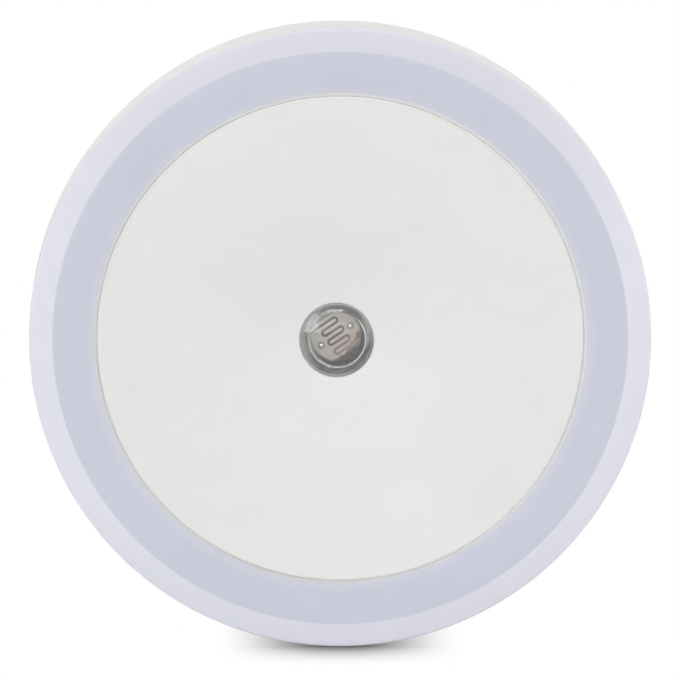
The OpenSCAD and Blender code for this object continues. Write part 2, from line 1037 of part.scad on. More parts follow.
module diffuser_profile() {
    z_under = z_ring - ring_t;
    polygon([
        [0, z_pocket], [pocket_r, z_pocket], [pocket_r, z_groove], [groove_r, z_groove],
        [groove_r, z_ring], [lip_r, z_ring], [body_r, z_ring - lip_drop], [body_r, z_seam],
        [tongue_r, z_seam],
        [tongue_r, z_bead + bead], [tongue_r + bead, z_bead], [tongue_r, z_bead - bead],
        [tongue_r, z_tongue], [under_r, z_tongue], [under_r, z_under - fill],
        [under_r - fill, z_under], [pocket_r + step_w + step_fill, z_under],
        [pocket_r + step_w, z_diffuser_back], [0, z_diffuser_back]
    ]);
}

module diffuser() {
    color("#cdcfdd")
        seat()
            difference() {
                rotate_extrude()
                    diffuser_profile();
                at_sensor()
                    translate([0, 0, z_diffuser_back - past])
                        cylinder(r = window_r + diffuser_hole_slack, h = diffuser_floor_t + 2 * past);
            }
}

module front_disc() {
    seat_depth = window_flange_t - adhesive_t + flange_slack;
    color("#e6e7e4")
        seat()
            difference() {
                rotate_extrude()
                    polygon(concat(
                        [[0, z_disc_back], [disc_r, z_disc_back]],
                        arc([disc_r - disc_edge, z_front - disc_edge], disc_edge, disc_edge, 0, 90, 6),
                        [[0, z_front]]
                    ));
                at_sensor()
                    translate([0, 0, z_disc_back - past]) {
                        cylinder(r = window_r + disc_hole_slack, h = disc_t + 2 * past);
                        cylinder(r = window_flange_r + flange_slack, h = past + seat_depth);
                    }
            }
}

module disc_adhesive() {
    color("#f4f1e6")
        seat()
            translate([0, 0, z_pocket])
                tube(disc_r - adhesive_margin, adhesive_hole_r, adhesive_t);
}

// ---------------------------------------------------------------- the assembly

rear_housing();
plug_body();
plug_screws();
plug_pin(-pin_pitch / 2);  // plug_pin_left
plug_pin(pin_pitch / 2);  // plug_pin_right
pin_sleeve(-pin_pitch / 2);  // pin_sleeve_left
pin_sleeve(pin_pitch / 2);  // pin_sleeve_right
insulated_wire(-1, "#7a4a2a");  // live_wire
insulated_wire(1, "#3a63a8");  // neutral_wire
wire_ends();
circuit_board();
board_screws();
led(0);  // led_1
led(1);  // led_2
led(2);  // led_3
led(3);  // led_4
led(4);  // led_5
led(5);  // led_6
led_phosphors();
film_capacitor();
film_capacitor_leads();
electrolytic_can();
electrolytic_sleeve();
electrolytic_bung();
electrolytic_leads();
fuse_resistor();
fuse_resistor_leads();
bleed_resistor();
bleed_resistor_leads();
bridge_rectifier();
bridge_rectifier_legs();
transistor();
transistor_legs();
zener_diode();
zener_caps();
chip_resistors();
chip_resistor_ends();
solder_joints();
photocell_body();
photocell_electrodes();
photocell_track();
photocell_coating();
photocell_leads();
sensor_sleeve();
sensor_window();
diffuser();
front_disc();
disc_adhesive();
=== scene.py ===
"""Looks of the plug-in night light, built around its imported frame.

Sizes are in millimetres and follow the part's source: z is the height above the plug's face, out
of the lit front, and world() turns a point to its place in the frame, in metres.
"""

import math

import bmesh
import bpy
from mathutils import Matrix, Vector

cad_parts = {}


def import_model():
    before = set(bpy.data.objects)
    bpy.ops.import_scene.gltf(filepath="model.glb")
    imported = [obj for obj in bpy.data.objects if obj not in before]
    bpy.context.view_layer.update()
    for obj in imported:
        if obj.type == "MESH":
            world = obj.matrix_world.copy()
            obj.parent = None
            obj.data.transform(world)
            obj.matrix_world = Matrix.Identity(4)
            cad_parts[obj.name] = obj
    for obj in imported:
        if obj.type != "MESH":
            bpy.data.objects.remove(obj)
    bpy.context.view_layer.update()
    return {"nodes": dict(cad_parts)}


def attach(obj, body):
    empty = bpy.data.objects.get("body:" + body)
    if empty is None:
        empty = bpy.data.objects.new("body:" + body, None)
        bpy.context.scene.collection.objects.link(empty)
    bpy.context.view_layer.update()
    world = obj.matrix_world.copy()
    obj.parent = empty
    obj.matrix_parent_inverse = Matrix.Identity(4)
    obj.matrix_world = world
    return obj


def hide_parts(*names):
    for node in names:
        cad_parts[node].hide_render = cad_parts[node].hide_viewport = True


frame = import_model()
nodes = frame["nodes"]

MM = 0.001
SIDES = 256
CREASE = math.radians(32)

# Heights above the plug's face
Z_LAND = 18.0
Z_FLANGE = 18.4
Z_RECESS = 19.6
Z_FLOOR = 21.2
Z_KNEE = 28.0
Z_BOARD = 28.6
Z_BOARD_TOP = 29.8
Z_TONGUE = 34.3
Z_UNDER = 34.6
Z_POCKET = 36.05
Z_DISC_BACK = 36.2
Z_SEAM = 36.9
Z_SEAT = 37.05
Z_GROOVE = 37.6
Z_RING = 37.7
Z_FRONT = 38.0

# Housing. Its hatch lets the wires through: width, height and corner radius
BODY_R = 31.5
LAND_R = 24.0
RECESS_R = 19.8
WALL = 1.6
DISH_STEPS = 36
HATCH = (22.0, 10.0, 1.5)
BEAD = 0.25
BEAD_DROP = 1.3
SEAM_GAP = 0.15
POST_RING_R = 23.4
POST_R = 2.6
POST_BORE_R = 1.0
POST_BORE = 6.0
Z_POST = 19.2

# Diffuser and disc
LIP_R = 29.15
LIP_DROP = 0.35
DISC_R = 24.6
DISC_EDGE = 0.25
POCKET_R = 24.61
GROOVE_R = 24.75
RIM_R = 25.0
TONGUE_R = 29.8
UNDER_R = 28.6
# The hollow under the ring, as radius, height and corner radius
CHAMBER = [(UNDER_R, 35.6, 0.3), (28.0, 36.2, 0.3), (26.85, 36.2, 0.3), (25.65, Z_UNDER, 0.2)]

DIFFUSER_HOLE_R = 4.0
SEAT_R = 4.9
HOLE_R = 3.76

# Window and photocell
SENSOR = (-0.4, -0.05)
WINDOW_R = 3.75
WINDOW_FLANGE_R = 4.8
BORE_R = 2.85
DOME_REACH = 3.6
DOME_R = 20.0
HOLLOW_R = 40.0
Z_WINDOW = 38.15
Z_WINDOW_RIM = 37.75
Z_BORE_END = 37.35
Z_BORE_EDGE = 37.15
Z_WINDOW_FLANGE = 36.95
Z_WINDOW_BACK = 33.15
Z_CELL = 34.15
CELL_R = 2.55
CELL_PITCH = 3.4
CELL_TURN = math.radians(34)
LEAD_R = 0.25
LEAD_HEAD = (0.3, 0.18)
Z_LEAD = 27.6

# Plug
PLUG_SIZE = (35.3, 13.7)
PLUG_FLAT = 26.1
PLUG_CORNER_R = 1.6
PLUG_ROUND = 0.8
PLUG_WALL = 1.7
PLUG_FACE_T = 3.0
PLUG_FLANGE_R = 19.5
PLUG_FLARE = 0.3
Z_BOSS = 2.6
BOSS_R = 3.4
BOSS_TOP = 9.0
SCREW_X = 14.2
SCREW_POST_R = 2.6
SCREW_BORE_R = 1.2
SCREW_BORE = 14.2
SCREW_POST_TOP = 18.8

# Pins
PIN_X = 9.5
PIN_R = 2.0
PIN_NECK_R = 1.5
PIN_TIP = -17.0
PIN_SHOULDER = -10.0
PIN_COLLAR = (2.2, 4.0, 7.0)
PIN_CUP = (0.9, 9.0, 11.5)
SLEEVE_R = 1.8
SLEEVE_END = 2.0

# Lamps: their place and size in metres, and the level they light a white surface to
LAMPS = {
    "front": ((0.02, -0.9, 0.08), (1.2, 0.8), 0.68),
    "key": ((-0.233, -0.866, 0.09), (0.183, 0.26), 0.09),
    "left": ((-0.72, -0.22, 0.03), (0.4, 0.5), 0.5),
    "right": ((0.72, -0.22, 0.03), (0.4, 0.5), 0.46),
    "top": ((0.0, -0.11, 0.7), (0.5, 0.3), 0.56),
}
LIT_POINT = (0, -0.034, 0)
ROOM_LEVEL = 0.12

# Floor: its half width in metres, its colour to the lamps, the grey of its painted contact shadow
# to the camera, and the reach of that shadow ahead and behind, and beside the middle
FLOOR_HALF = 6.0
FLOOR_PLAIN = 0.7
FLOOR_SHADOW_GREY = 0.15
SHADE_REACH = 13.5
SHADE_SIDE = 12.9

# Camera: angles in degrees, distance in metres, lens in mm, and the point it looks at
AZIMUTH = -0.86
ELEVATION = 6.38
DISTANCE = 1.0
LENS = 523.3
AIM = (-0.04, -Z_FRONT, -0.08)


def world(x, y, z):
    """The place in the frame of a point given in the part's source."""
    return Vector((x, -z, y)) * MM


# ---------------------------------------------------------------- forms


def circle(r, at=(0.0, 0.0), n=SIDES):
    turns = [2 * math.pi * k / n for k in range(n)]
    return [(at[0] + r * math.cos(t), at[1] + r * math.sin(t)) for t in turns]


def arc(at, rx, ry, start, end, n):
    """Points on an elliptical arc from angle start to angle end, in degrees."""
    turns = [math.radians(start + (end - start) * k / n) for k in range(n + 1)]
    return [(at[0] + rx * math.cos(t), at[1] + ry * math.sin(t)) for t in turns]


def filleted(points, closed, steps=4):
    """A line through the points (a, b, radius). A corner with a radius is rounded to it."""
    out = []
    for i, point in enumerate(points):
        corner = Vector(point[:2])
        radius = point[2] if len(point) > 2 else 0
        if not radius or (not closed and i in (0, len(points) - 1)):
            out.append(tuple(corner))
            continue
        before = (Vector(points[i - 1][:2]) - corner).normalized()
        after = (Vector(points[(i + 1) % len(points)][:2]) - corner).normalized()
        half = before.angle(after) / 2
        centre = corner + (before + after).normalized() * radius / math.sin(half)
        a = corner + before * radius / math.tan(half) - centre
        b = corner + after * radius / math.tan(half) - centre
        sweep = a.angle(b)
        for k in range(steps + 1):
            t = k / steps
            v = (a * math.sin((1 - t) * sweep) + b * math.sin(t * sweep)) / math.sin(sweep)
            out.append(tuple(centre + v))
    return out


def box_outline(w, h, corner):
    half = [(w / 2, -h / 2), (w / 2, h / 2), (-w / 2, h / 2), (-w / 2, -h / 2)]
    return filleted([(x, y, corner) for x, y in half], closed=True, steps=8)


def plug_outline(inset):
    """The plug body's eight-sided outline, drawn in by inset all round."""
    w = PLUG_SIZE[0] / 2 - inset
    h = PLUG_SIZE[1] / 2 - inset
    flat = PLUG_FLAT / 2 - inset * math.tan(math.radians(22.5))
    side = h - (w - flat)
    corners = [(w, -side), (w, side), (flat, h), (-flat, h)]
    corners += [(-x, -y) for x, y in corners]
    corner = max(PLUG_CORNER_R - inset, 0.3)
    return filleted([(x, y, corner) for x, y in corners], closed=True, steps=6)


def circle_like(outline, r):
    """A circle whose points lie at the same bearings as those of the outline."""
    turns = [math.atan2(y, x) for x, y in outline]
    return [(r * math.cos(t), r * math.sin(t)) for t in turns]


def crossings(outline, like):
    """The points where the bearings of like's points, from the middle, cross a convex outline."""
    found = []
    for x, y in like:
        ray = Vector((x, y)).normalized()
        for i, point in enumerate(outline):
            a = Vector(outline[i - 1])
            edge = Vector(point) - a
            across = ray.x * edge.y - ray.y * edge.x
            if abs(across) < 1e-9:
                continue
            along = (a.x * edge.y - a.y * edge.x) / across
            share = (a.x * ray.y - a.y * ray.x) / across
            if along > 0 and -1e-6 <= share <= 1 + 1e-6:
                found.append(tuple(ray * along))
                break
    return found


class Form:
    """A mesh of one or more lofts, in millimetres until it is made."""

    def __init__(self):
        self.points = []
        self.faces = []

    def loft(self, rings, closed=False):
        """Skins the rings (outline, z) in turn. A ring of one point closes the form there."""
        rows = []
        for outline, z in rings:
            rows.append(range(len(self.points), len(self.points) + len(outline)))
            self.points += [(x, y, z) for x, y in outline]
        pairs = list(zip(rows, rows[1:]))
        if closed:
            pairs.append((rows[-1], rows[0]))
        for one, two in pairs:
            n = max(len(one), len(two))
            for k in range(n):
                corners = [one[k % len(one)], one[(k + 1) % len(one)]]
                corners += [two[(k + 1) % len(two)], two[k % len(two)]]
                self.faces.append(list(dict.fromkeys(corners)))
        return self

    def lathe(self, profile, at=(0.0, 0.0), closed=False, n=SIDES):
        """Turns the profile (radius, z) round an axis along z at a point."""
        return self.loft([(circle(r, at, n) if r > 1e-6 else [at], z) for r, z in profile], closed)

    def make(self, name, node, slot):
        """Makes the piece that takes the node's place, in the look named like its slot."""
        mesh = bpy.data.meshes.new(name)
        mesh.from_pydata([world(*p) for p in self.points], [], self.faces)
        work = bmesh.new()
        work.from_mesh(mesh)
        bmesh.ops.remove_doubles(work, verts=work.verts, dist=1e-8)
        bmesh.ops.recalc_face_normals(work, faces=work.faces)
        work.to_mesh(mesh)
        work.free()
        mesh.shade_smooth()
        mesh.set_sharp_from_angle(angle=CREASE)
        mesh.materials.append(looks[slot].material)
        piece = bpy.data.objects.new(name, mesh)
        bpy.context.scene.collection.objects.link(piece)
        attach(piece, "root")
        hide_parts(node)


# ---------------------------------------------------------------- materials

looks = {}


class Look:
    """A procedural material, kept in looks. Its coordinates are the frame's x, y and z in mm."""

    def __init__(self, name):
        self.material = bpy.data.materials.new("look_" + name)
        self.material.use_nodes = True
        self.tree = self.material.node_tree
        self.shader = self.tree.nodes["Principled BSDF"]
        place = self.add("ShaderNodeTexCoord")
        self.coords = self.add("ShaderNodeVectorMath", operation="SCALE")
        self.coords.inputs["Scale"].default_value = 1 / MM
        self.join(place.outputs["Object"], self.coords.inputs[0])
        looks[name] = self

    def add(self, kind, **settings):
        made = self.tree.nodes.new(kind)
        for key, value in settings.items():
            setattr(made, key, value)
        return made

    def join(self, source, target):
        self.tree.links.new(source, target)

    def set(self, **values):
        for key, value in values.items():
            self.shader.inputs[key.replace("_", " ")].default_value = value

    def stretched(self, stretch, shift=(0, 0, 0)):
        scaled = self.add("ShaderNodeMapping")
        scaled.inputs["Scale"].default_value = stretch
        scaled.inputs["Location"].default_value = shift
        self.join(self.coords.outputs[0], scaled.inputs["Vector"])
        return scaled.outputs[0]

    def noise(self, size, detail=3.0, stretch=(1, 1, 1), rough=0.5, twist=0.0):
        made = self.add("ShaderNodeTexNoise")
        made.inputs["Scale"].default_value = 1 / size
        made.inputs["Detail"].default_value = detail
        made.inputs["Roughness"].default_value = rough
        made.inputs["Distortion"].default_value = twist
        self.join(self.stretched(stretch), made.inputs["Vector"])
        return made.outputs["Fac"]

    def ring_noise(self, size, length, radius, at):
        """Marks that run round the axis at a point: size across them, length times as long."""
        bearing = self.add("ShaderNodeVectorMath", operation="NORMALIZE")
        self.join(self.stretched((1, 0, 1), (-at[0], 0, -at[1])), bearing.inputs[0])
        round_axis = self.add("ShaderNodeVectorMath", operation="SCALE")
        round_axis.inputs["Scale"].default_value = radius / length
        self.join(bearing.outputs[0], round_axis.inputs[0])
        across = self.add("ShaderNodeCombineXYZ")
        self.join(self.radius(at), across.inputs[1])
        both = self.add("ShaderNodeVectorMath", operation="ADD")
        self.join(round_axis.outputs[0], both.inputs[0])
        self.join(across.outputs[0], both.inputs[1])
        made = self.add("ShaderNodeTexNoise")
        made.inputs["Scale"].default_value = 1 / size
        made.inputs["Detail"].default_value = 3.0
        self.join(both.outputs[0], made.inputs["Vector"])
        return made.outputs["Fac"]

    def cells(self, size, feature="F1"):
        made = self.add("ShaderNodeTexVoronoi", feature=feature)
        made.inputs["Scale"].default_value = 1 / size
        self.join(self.coords.outputs[0], made.inputs["Vector"])
        return made.outputs["Distance"]

    def axis(self, letter):
        parts = self.add("ShaderNodeSeparateXYZ")
        self.join(self.coords.outputs[0], parts.inputs[0])
        return parts.outputs["XYZ".index(letter)]

    def height(self):
        """Height above the plug's face."""
        return self.calc("MULTIPLY", self.axis("Y"), -1.0)

    def radius(self, at=(0.0, 0.0)):
        """Distance from an axis that points out of the front at a point (x, z)."""
        made = self.add("ShaderNodeVectorMath", operation="LENGTH")
        self.join(self.stretched((1, 0, 1), (-at[0], 0, -at[1])), made.inputs[0])
        return made.outputs["Value"]

    def along(self, degrees, at=(0.0, 0.0)):
        """Distance from a point (x, z) along a bearing, seen from the front: 0 right, 90 up."""
        turn = math.radians(degrees)
        made = self.add("ShaderNodeVectorMath", operation="DOT_PRODUCT")
        self.join(self.stretched((1, 1, 1), (-at[0], 0, -at[1])), made.inputs[0])
        made.inputs[1].default_value = (math.cos(turn), 0, math.sin(turn))
        return made.outputs["Value"]

    def calc(self, operation, *values):
        """One step of arithmetic on sockets or numbers."""
        made = self.add("ShaderNodeMath", operation=operation)
        for socket, value in zip(made.inputs, values):
            if isinstance(value, (int, float)):
                socket.default_value = value
            else:
                self.join(value, socket)
        return made.outputs[0]

    def times(self, first, *others):
        """The product of the values."""
        for other in others:
            first = self.calc("MULTIPLY", first, other)
        return first

    def most(self, first, *others):
        """The largest of the values."""
        for other in others:
            first = self.calc("MAXIMUM", first, other)
        return first

    def off(self, value, middle):
        """How far value is from middle."""
        return self.calc("ABSOLUTE", self.calc("SUBTRACT", value, middle))

    def span(self, value, low, high, start=0.0, end=1.0, smooth=False):
        """Maps value from low..high to start..end and stays within them."""
        shape = "SMOOTHSTEP" if smooth else "LINEAR"
        made = self.add("ShaderNodeMapRange", interpolation_type=shape)
        numbers = zip(("From Min", "From Max", "To Min", "To Max"), (low, high, start, end))
        for key, number in numbers:
            made.inputs[key].default_value = number
        self.join(value, made.inputs["Value"])
        return made.outputs["Result"]

    def blend(self, share, one, two):
        """The colour one where share is 0 and two where it is 1."""
        made = self.add("ShaderNodeMix", data_type="RGBA")
        self.join(share, made.inputs["Factor"])
        for key, value in (("A", one), ("B", two)):
            socket = next(s for s in made.inputs if s.name == key and s.type == "RGBA")
            if isinstance(value, tuple):
                socket.default_value = (*value, 1)
            else:
                self.join(value, socket)
        return next(s for s in made.outputs if s.type == "RGBA")

    def dimmed(self, colour, share):
        """The colour multiplied by share."""
        made = self.add("ShaderNodeVectorMath", operation="SCALE")
        self.join(colour, made.inputs[0])
        self.join(share, made.inputs["Scale"])
        return made.outputs[0]

    def tone(self, colour, spread, share):
        """The colour from spread darker to spread lighter, as share goes from 0 to 1."""
        dark = tuple(c * (1 - spread) for c in colour)
        light = tuple(min(c * (1 + spread), 1) for c in colour)
        return self.blend(share, dark, light)

    def colour(self, socket):
        self.join(socket, self.shader.inputs["Base Color"])

    def rough(self, share, low, high):
        """Roughness from low to high, as share goes from 0.3 to 0.7."""
        self.join(self.span(share, 0.3, 0.7, low, high), self.shader.inputs["Roughness"])

    def clear(self, frost):
        """Lets light through where frost is 0, and none where it is 1."""
        through = self.span(frost, 0.0, 1.0, 1.0, 0.0)
        self.join(through, self.shader.inputs["Transmission Weight"])

    def relief(self, *heights):
        """Bump from one or more (height, depth in mm), the coarsest first."""
        normal = None
        for height, depth in heights:
            bump = self.add("ShaderNodeBump")
            bump.inputs["Distance"].default_value = depth * MM
            self.join(height, bump.inputs["Height"])
            if normal:
                self.join(normal, bump.inputs["Normal"])
            normal = bump.outputs["Normal"]
        self.join(normal, self.shader.inputs["Normal"])


def moulded(name, colour, rough, grain=0.012, grain_size=0.16, spread=0.015):
    """Moulded plastic: spark-eroded grain, faint flow marks and uneven gloss."""
    look = Look(name)
    flow = look.noise(6.0, 4.0, (1, 0.6, 1.4), twist=0.6)
    fine = look.noise(grain_size, 2.0)
    look.colour(look.tone(colour, spread, look.span(flow, 0.3, 0.7)))
    look.rough(look.noise(2.4, 3.0), rough - 0.05, rough + 0.05)
    look.relief((flow, 0.006), (fine, grain))
    return look


def metal(name, colour, rough, stretch=(1, 1, 1), scratch=0.004, size=0.12):
    """Bare or plated metal, with fine marks that run where stretch is small."""
    look = Look(name)
    marks = look.noise(size, 3.0, stretch)
    cloud = look.noise(size * 12, 3.0)
    look.colour(look.tone(colour, 0.08, look.span(cloud, 0.3, 0.7)))
    look.rough(cloud, rough - 0.06, rough + 0.08)
    look.relief((cloud, scratch * 2), (marks, scratch))
    look.set(Metallic=1.0)


def banded(name, body, bands, rough):
    """A lacquered axial body with colour bands round it: (middle, half width, colour) along x."""
    look = Look(name)
    cloud = look.noise(1.6, 3.0)
    colour = look.tone(body, 0.07, look.span(cloud, 0.3, 0.7))
    x = look.axis("X")
    for middle, half, band in bands:
        share = look.span(look.off(x, middle), half - 0.05, half + 0.05, 1.0, 0.0)
        colour = look.blend(share, colour, band)
    look.colour(colour)
    look.rough(cloud, rough - 0.05, rough + 0.06)
    look.relief((cloud, 0.04), (look.noise(0.2), 0.01))


def lead_places():
    """Where the photocell's two leads come out, seen from the front."""
    reach = CELL_PITCH / 2
    turn = (math.cos(CELL_TURN) * reach, math.sin(CELL_TURN) * reach)
    return [(SENSOR[0] + s * turn[0], SENSOR[1] + s * turn[1]) for s in (-1, 1)]


def disc_look():
    """Smooth moulding with painted light and shade: a paler lower right, painted shade on its
    upper edge and low in its hole, and painted light round its edge, most low down.
    """
    look = moulded("disc_plastic", (0.798, 0.803, 0.781), 0.5, grain=0.004, grain_size=0.3)
    face = look.shader.inputs["Base Color"].links[0].from_socket
    # Painted light and shade: the face is paler towards the lower right and darker towards the
    # upper left
    face = look.dimmed(face, look.span(look.along(-50), -20.0, 24.0, 0.985, 1.03))
    radius = look.radius()
    # Painted shade: grey over the upper part of the rounded edge
    edge = look.span(radius, DISC_R - DISC_EDGE - 0.05, DISC_R - 0.15, smooth=True)
    upper = look.span(look.along(95), -2.0, 16.0, 0.0, 0.8, smooth=True)
    colour = look.blend(look.times(edge, upper), face, (0.63, 0.635, 0.62))

    # Painted light in the gap round the edge, paler low down
    gap = look.span(radius, DISC_R - 0.16, DISC_R - 0.08, smooth=True)
    lower = look.span(look.along(-90), 6.0, 20.0, smooth=True)
    painted_groove_light = look.blend(lower, (0.78, 0.785, 0.77), (0.93, 0.935, 0.92))
    colour = look.blend(gap, colour, painted_groove_light)

    # Painted shade low in the hole round the window
    hole = look.span(look.radius(SENSOR), WINDOW_R + 0.05, WINDOW_R + 0.15, 1.0, 0.0)
    painted_shade_below = look.span(look.along(-60, SENSOR), 0.5, 2.8)
    look.colour(look.blend(look.times(hole, painted_shade_below), colour, (0.45, 0.45, 0.44)))


def frosted():
    """Frosted plastic: darker over the hollow ring, paler over the solid wall and by the disc,
    with painted light and shade that vary round it.
    """
    look = Look("diffuser_plastic")
    flow = look.noise(6.0, 4.0, (1, 0.6, 1.4), twist=0.6)
    fine = look.noise(0.12, 2.0)
    radius = look.radius()
    patch = look.span(flow, 0.3, 0.7)
    hollow = look.tone((0.62, 0.63, 0.73), 0.012, patch)
    solid = look.tone((0.75, 0.757, 0.832), 0.008, patch)
    # Painted light and shade on the solid wall: darker at the top, paler to the lower left and
    # lower right
    top = look.span(look.along(90), 8.0, 30.0, 1.0, 0.895, smooth=True)
    right = look.span(look.along(-30), 10.0, 29.0, 1.0, 1.05, smooth=True)
    left = look.span(look.along(-135), 12.0, 29.0, 1.0, 1.05, smooth=True)
    solid = look.dimmed(solid, look.times(top, left, right))

    wall = look.span(radius, LIP_R - 0.12, LIP_R + 0.08, smooth=True)
    near = look.span(radius, RIM_R + 0.1, RIM_R + 1.2, 0.3, 0.0, smooth=True)
    # Painted shade: the whole face darker towards the bottom
    bottom = look.span(look.along(-90), 16.0, 29.0, 1.0, 0.95, smooth=True)
    colour = look.dimmed(look.blend(look.most(wall, near), hollow, solid), bottom)

    # A pale rim by the disc, with painted light to its right and painted shade at its bottom
    beside = look.span(look.along(-10), -8.0, 20.0, smooth=True)
    bright = look.blend(beside, (0.735, 0.735, 0.735), (0.8, 0.8, 0.8))
    low = look.span(look.along(-90), 18.0, 25.0, 1.0, 0.88, smooth=True)
    rim = look.span(radius, RIM_R - 0.1, RIM_R + 0.02, 1.0, 0.0, smooth=True)
    look.colour(look.blend(rim, colour, look.dimmed(bright, low)))
    look.rough(look.noise(2.4), 0.45, 0.55)
    look.relief((flow, 0.006), (fine, 0.006))
    look.set(Subsurface_Weight=0.25, Subsurface_Scale=0.4 * MM, Subsurface_Radius=(1.0, 1.0, 1.15))


def window_look():
    """Clear moulding with frosted edges, a frosted end, and drag marks round its face; its frost
    and colours paint highlights, a reflection, and light and shade.
    """
    look = Look("window_plastic")
    wave = look.noise(1.4, 2.0, (1, 0.5, 1))
    ripple = look.noise(0.45, 3.0, (1, 0.3, 1))
    marks = look.span(look.ring_noise(0.16, 9.0, WINDOW_R, SENSOR), 0.32, 0.68)
    radius = look.radius(SENSOR)
    height = look.height()
    face = look.span(height, Z_RING - 0.1, Z_RING)

    # Haze on the face beside the bore and at the lower right, painted light over its left edge,
    # and a painted reflection at the upper left
    right = look.span(look.along(0, SENSOR), 2.2, 3.1)
    left = look.span(look.along(170, SENSOR), 1.8, 3.0)
    low_right = look.span(look.along(-32, SENSOR), 2.9, 3.3)
    haze = look.times(
        look.span(radius, BORE_R, BORE_R + 0.1),
        look.span(look.most(right, left), 0.0, 1.0, 0.02, 0.2),
        look.span(low_right, 0.0, 1.0, 1.0, 0.0),
    )
    # Painted light: a pale patch over the dark gap at the bore's left edge
    painted_gap_light = look.times(
        look.span(radius, BORE_R - 0.43, BORE_R - 0.25),
        look.span(radius, BORE_R, BORE_R + 0.15, 1.0, 0.0),
        look.span(look.along(205, SENSOR), 1.0, 2.2, 0.0, 0.24),
    )
    haze = look.times(look.most(haze, painted_gap_light), look.span(marks, 0.0, 1.0, 0.6, 1.4))
    veil = look.span(look.along(-45, SENSOR), 0.4, 1.6, 0.0, 0.05)
    # Painted reflection: a pale patch at the upper left
    cloud = look.times(
        look.span(look.along(127, SENSOR), 2.4, 2.7, 0.0, 0.22),
        look.span(radius, BORE_R + 0.1, BORE_R + 0.25, 1.0, 0.3),
    )
    haze = look.times(face, look.most(haze, veil, cloud))

    # Painted highlights: bright lines round the bore's end and glints at its top, seen from the
    # front
    shifted = look.radius((SENSOR[0] + 0.07, SENSOR[1] + 0.05))
    ring = look.times(
        look.span(look.off(shifted, BORE_R + 0.02), 0.02, 0.13, 1.0, 0.0, smooth=True),
        look.span(height, Z_BORE_EDGE - 0.15, Z_BORE_EDGE - 0.05),
        look.span(look.along(-70, SENSOR), -2.4, 0.0, smooth=True),
    )
    above = look.times(
        look.span(look.along(98, SENSOR), BORE_R - 0.15, BORE_R, smooth=True),
        look.span(radius, BORE_R + 0.2, BORE_R + 0.3, 1.0, 0.0),
        face,
    )
    line = look.times(
        look.span(look.off(shifted, BORE_R + 0.05), 0.02, 0.12, 1.0, 0.0, smooth=True),
        look.span(look.along(-20, SENSOR), 0.8, 2.4, 0.0, 0.6, smooth=True),
        face,
    )
    painted_glints = look.times(look.most(ring, above), look.span(ripple, 0.32, 0.62, 0.08, 0.6))
    painted_glints = look.most(painted_glints, line)

    # Frosted surfaces: the outer wall, the bore's wall and the back end
    outer = look.span(radius, WINDOW_R - 0.3, WINDOW_R - 0.1, 0.0, 0.7, smooth=True)
    end = look.span(height, Z_WINDOW_BACK + 0.05, Z_WINDOW_BACK + 0.25, 0.85, 0.0)
    wall = look.times(
        look.span(radius, BORE_R + 0.02, BORE_R + 0.06, 1.0, 0.0),
        look.span(height, Z_BORE_EDGE - 1.55, Z_BORE_EDGE - 0.55, 0.9, 0.0),
    )
    look.clear(look.most(painted_glints, haze, outer, wall, end))

    # Painted light and shade on the back end: pale, with painted shade below, towards the top and
    # darkest at the lower right
    pale = look.blend(marks, (0.75, 0.75, 0.74), (0.98, 0.98, 0.97))
    dark = look.blend(marks, (0.045, 0.045, 0.042), (0.4, 0.4, 0.385))
    corner = look.span(look.along(-35, SENSOR), 2.0, 3.0, smooth=True)
    dark = look.blend(corner, dark, (0.05, 0.05, 0.048))
    painted_shade_below = look.span(look.along(-70, SENSOR), 0.4, 3.0, smooth=True)
    upper = look.span(look.along(80, SENSOR), 1.4, 3.4, 0.0, 0.35, smooth=True)
    grey = look.blend(look.most(painted_shade_below, upper), pale, dark)
    # Painted shade: the bore's wall darker towards the lower right
    shade = look.span(look.along(-30, SENSOR), -0.6, 2.4)
    lining = look.blend(shade, (0.95, 0.93, 0.9), (0.34, 0.34, 0.33))
    # Painted shade: the outer wall darker at the lower right
    rim = look.blend(low_right, (0.42, 0.42, 0.41), (0.13, 0.13, 0.127))
    tint = look.blend(end, look.tone((0.99, 0.99, 0.985), 0.008, wave), grey)
    look.colour(look.blend(outer, look.blend(wall, tint, lining), rim))
    look.rough(look.noise(0.8), 0.01, 0.05)
    look.relief((wave, 0.002))
    look.set(IOR=1.49)


def streaked_grey():
    """Grey moulding with drag marks along its wall, with painted shade below and towards the upper
    left.
    """
    look = Look("grey_plastic")
    streaks = look.noise(0.35, 4.0, (1.6, 0.12, 1.6), rough=0.7)
    patch = look.noise(1.6, 3.0)
    level = look.calc("ADD", streaks, look.times(look.calc("SUBTRACT", patch, 0.5), 0.5))
    marks = look.span(level, 0.3, 0.7)
    pale = look.blend(marks, (0.42, 0.42, 0.41), (0.85, 0.86, 0.85))
    dark = look.blend(marks, (0.2, 0.165, 0.145), (0.5, 0.45, 0.41))
    # Painted shade below and towards the upper left
    painted_shade_below = look.span(look.along(-45, SENSOR), 0.2, 3.0, smooth=True)
    above = look.span(look.along(110, SENSOR), 1.6, 3.4, 0.0, 0.6, smooth=True)
    look.colour(look.blend(look.most(painted_shade_below, above), pale, dark))
    look.rough(patch, 0.25, 0.4)
    look.relief((patch, 0.03), (streaks, 0.03))


def cell_ceramic():
    """Fired ceramic, cream with darker clouds."""
    look = Look("cell_ceramic")
    cloud = look.noise(1.1, 4.0)
    look.colour(look.blend(look.span(cloud, 0.3, 0.7), (0.58, 0.52, 0.46), (0.7, 0.66, 0.58)))
    look.rough(cloud, 0.55, 0.75)
    look.relief((cloud, 0.01), (look.cells(0.12), 0.01))


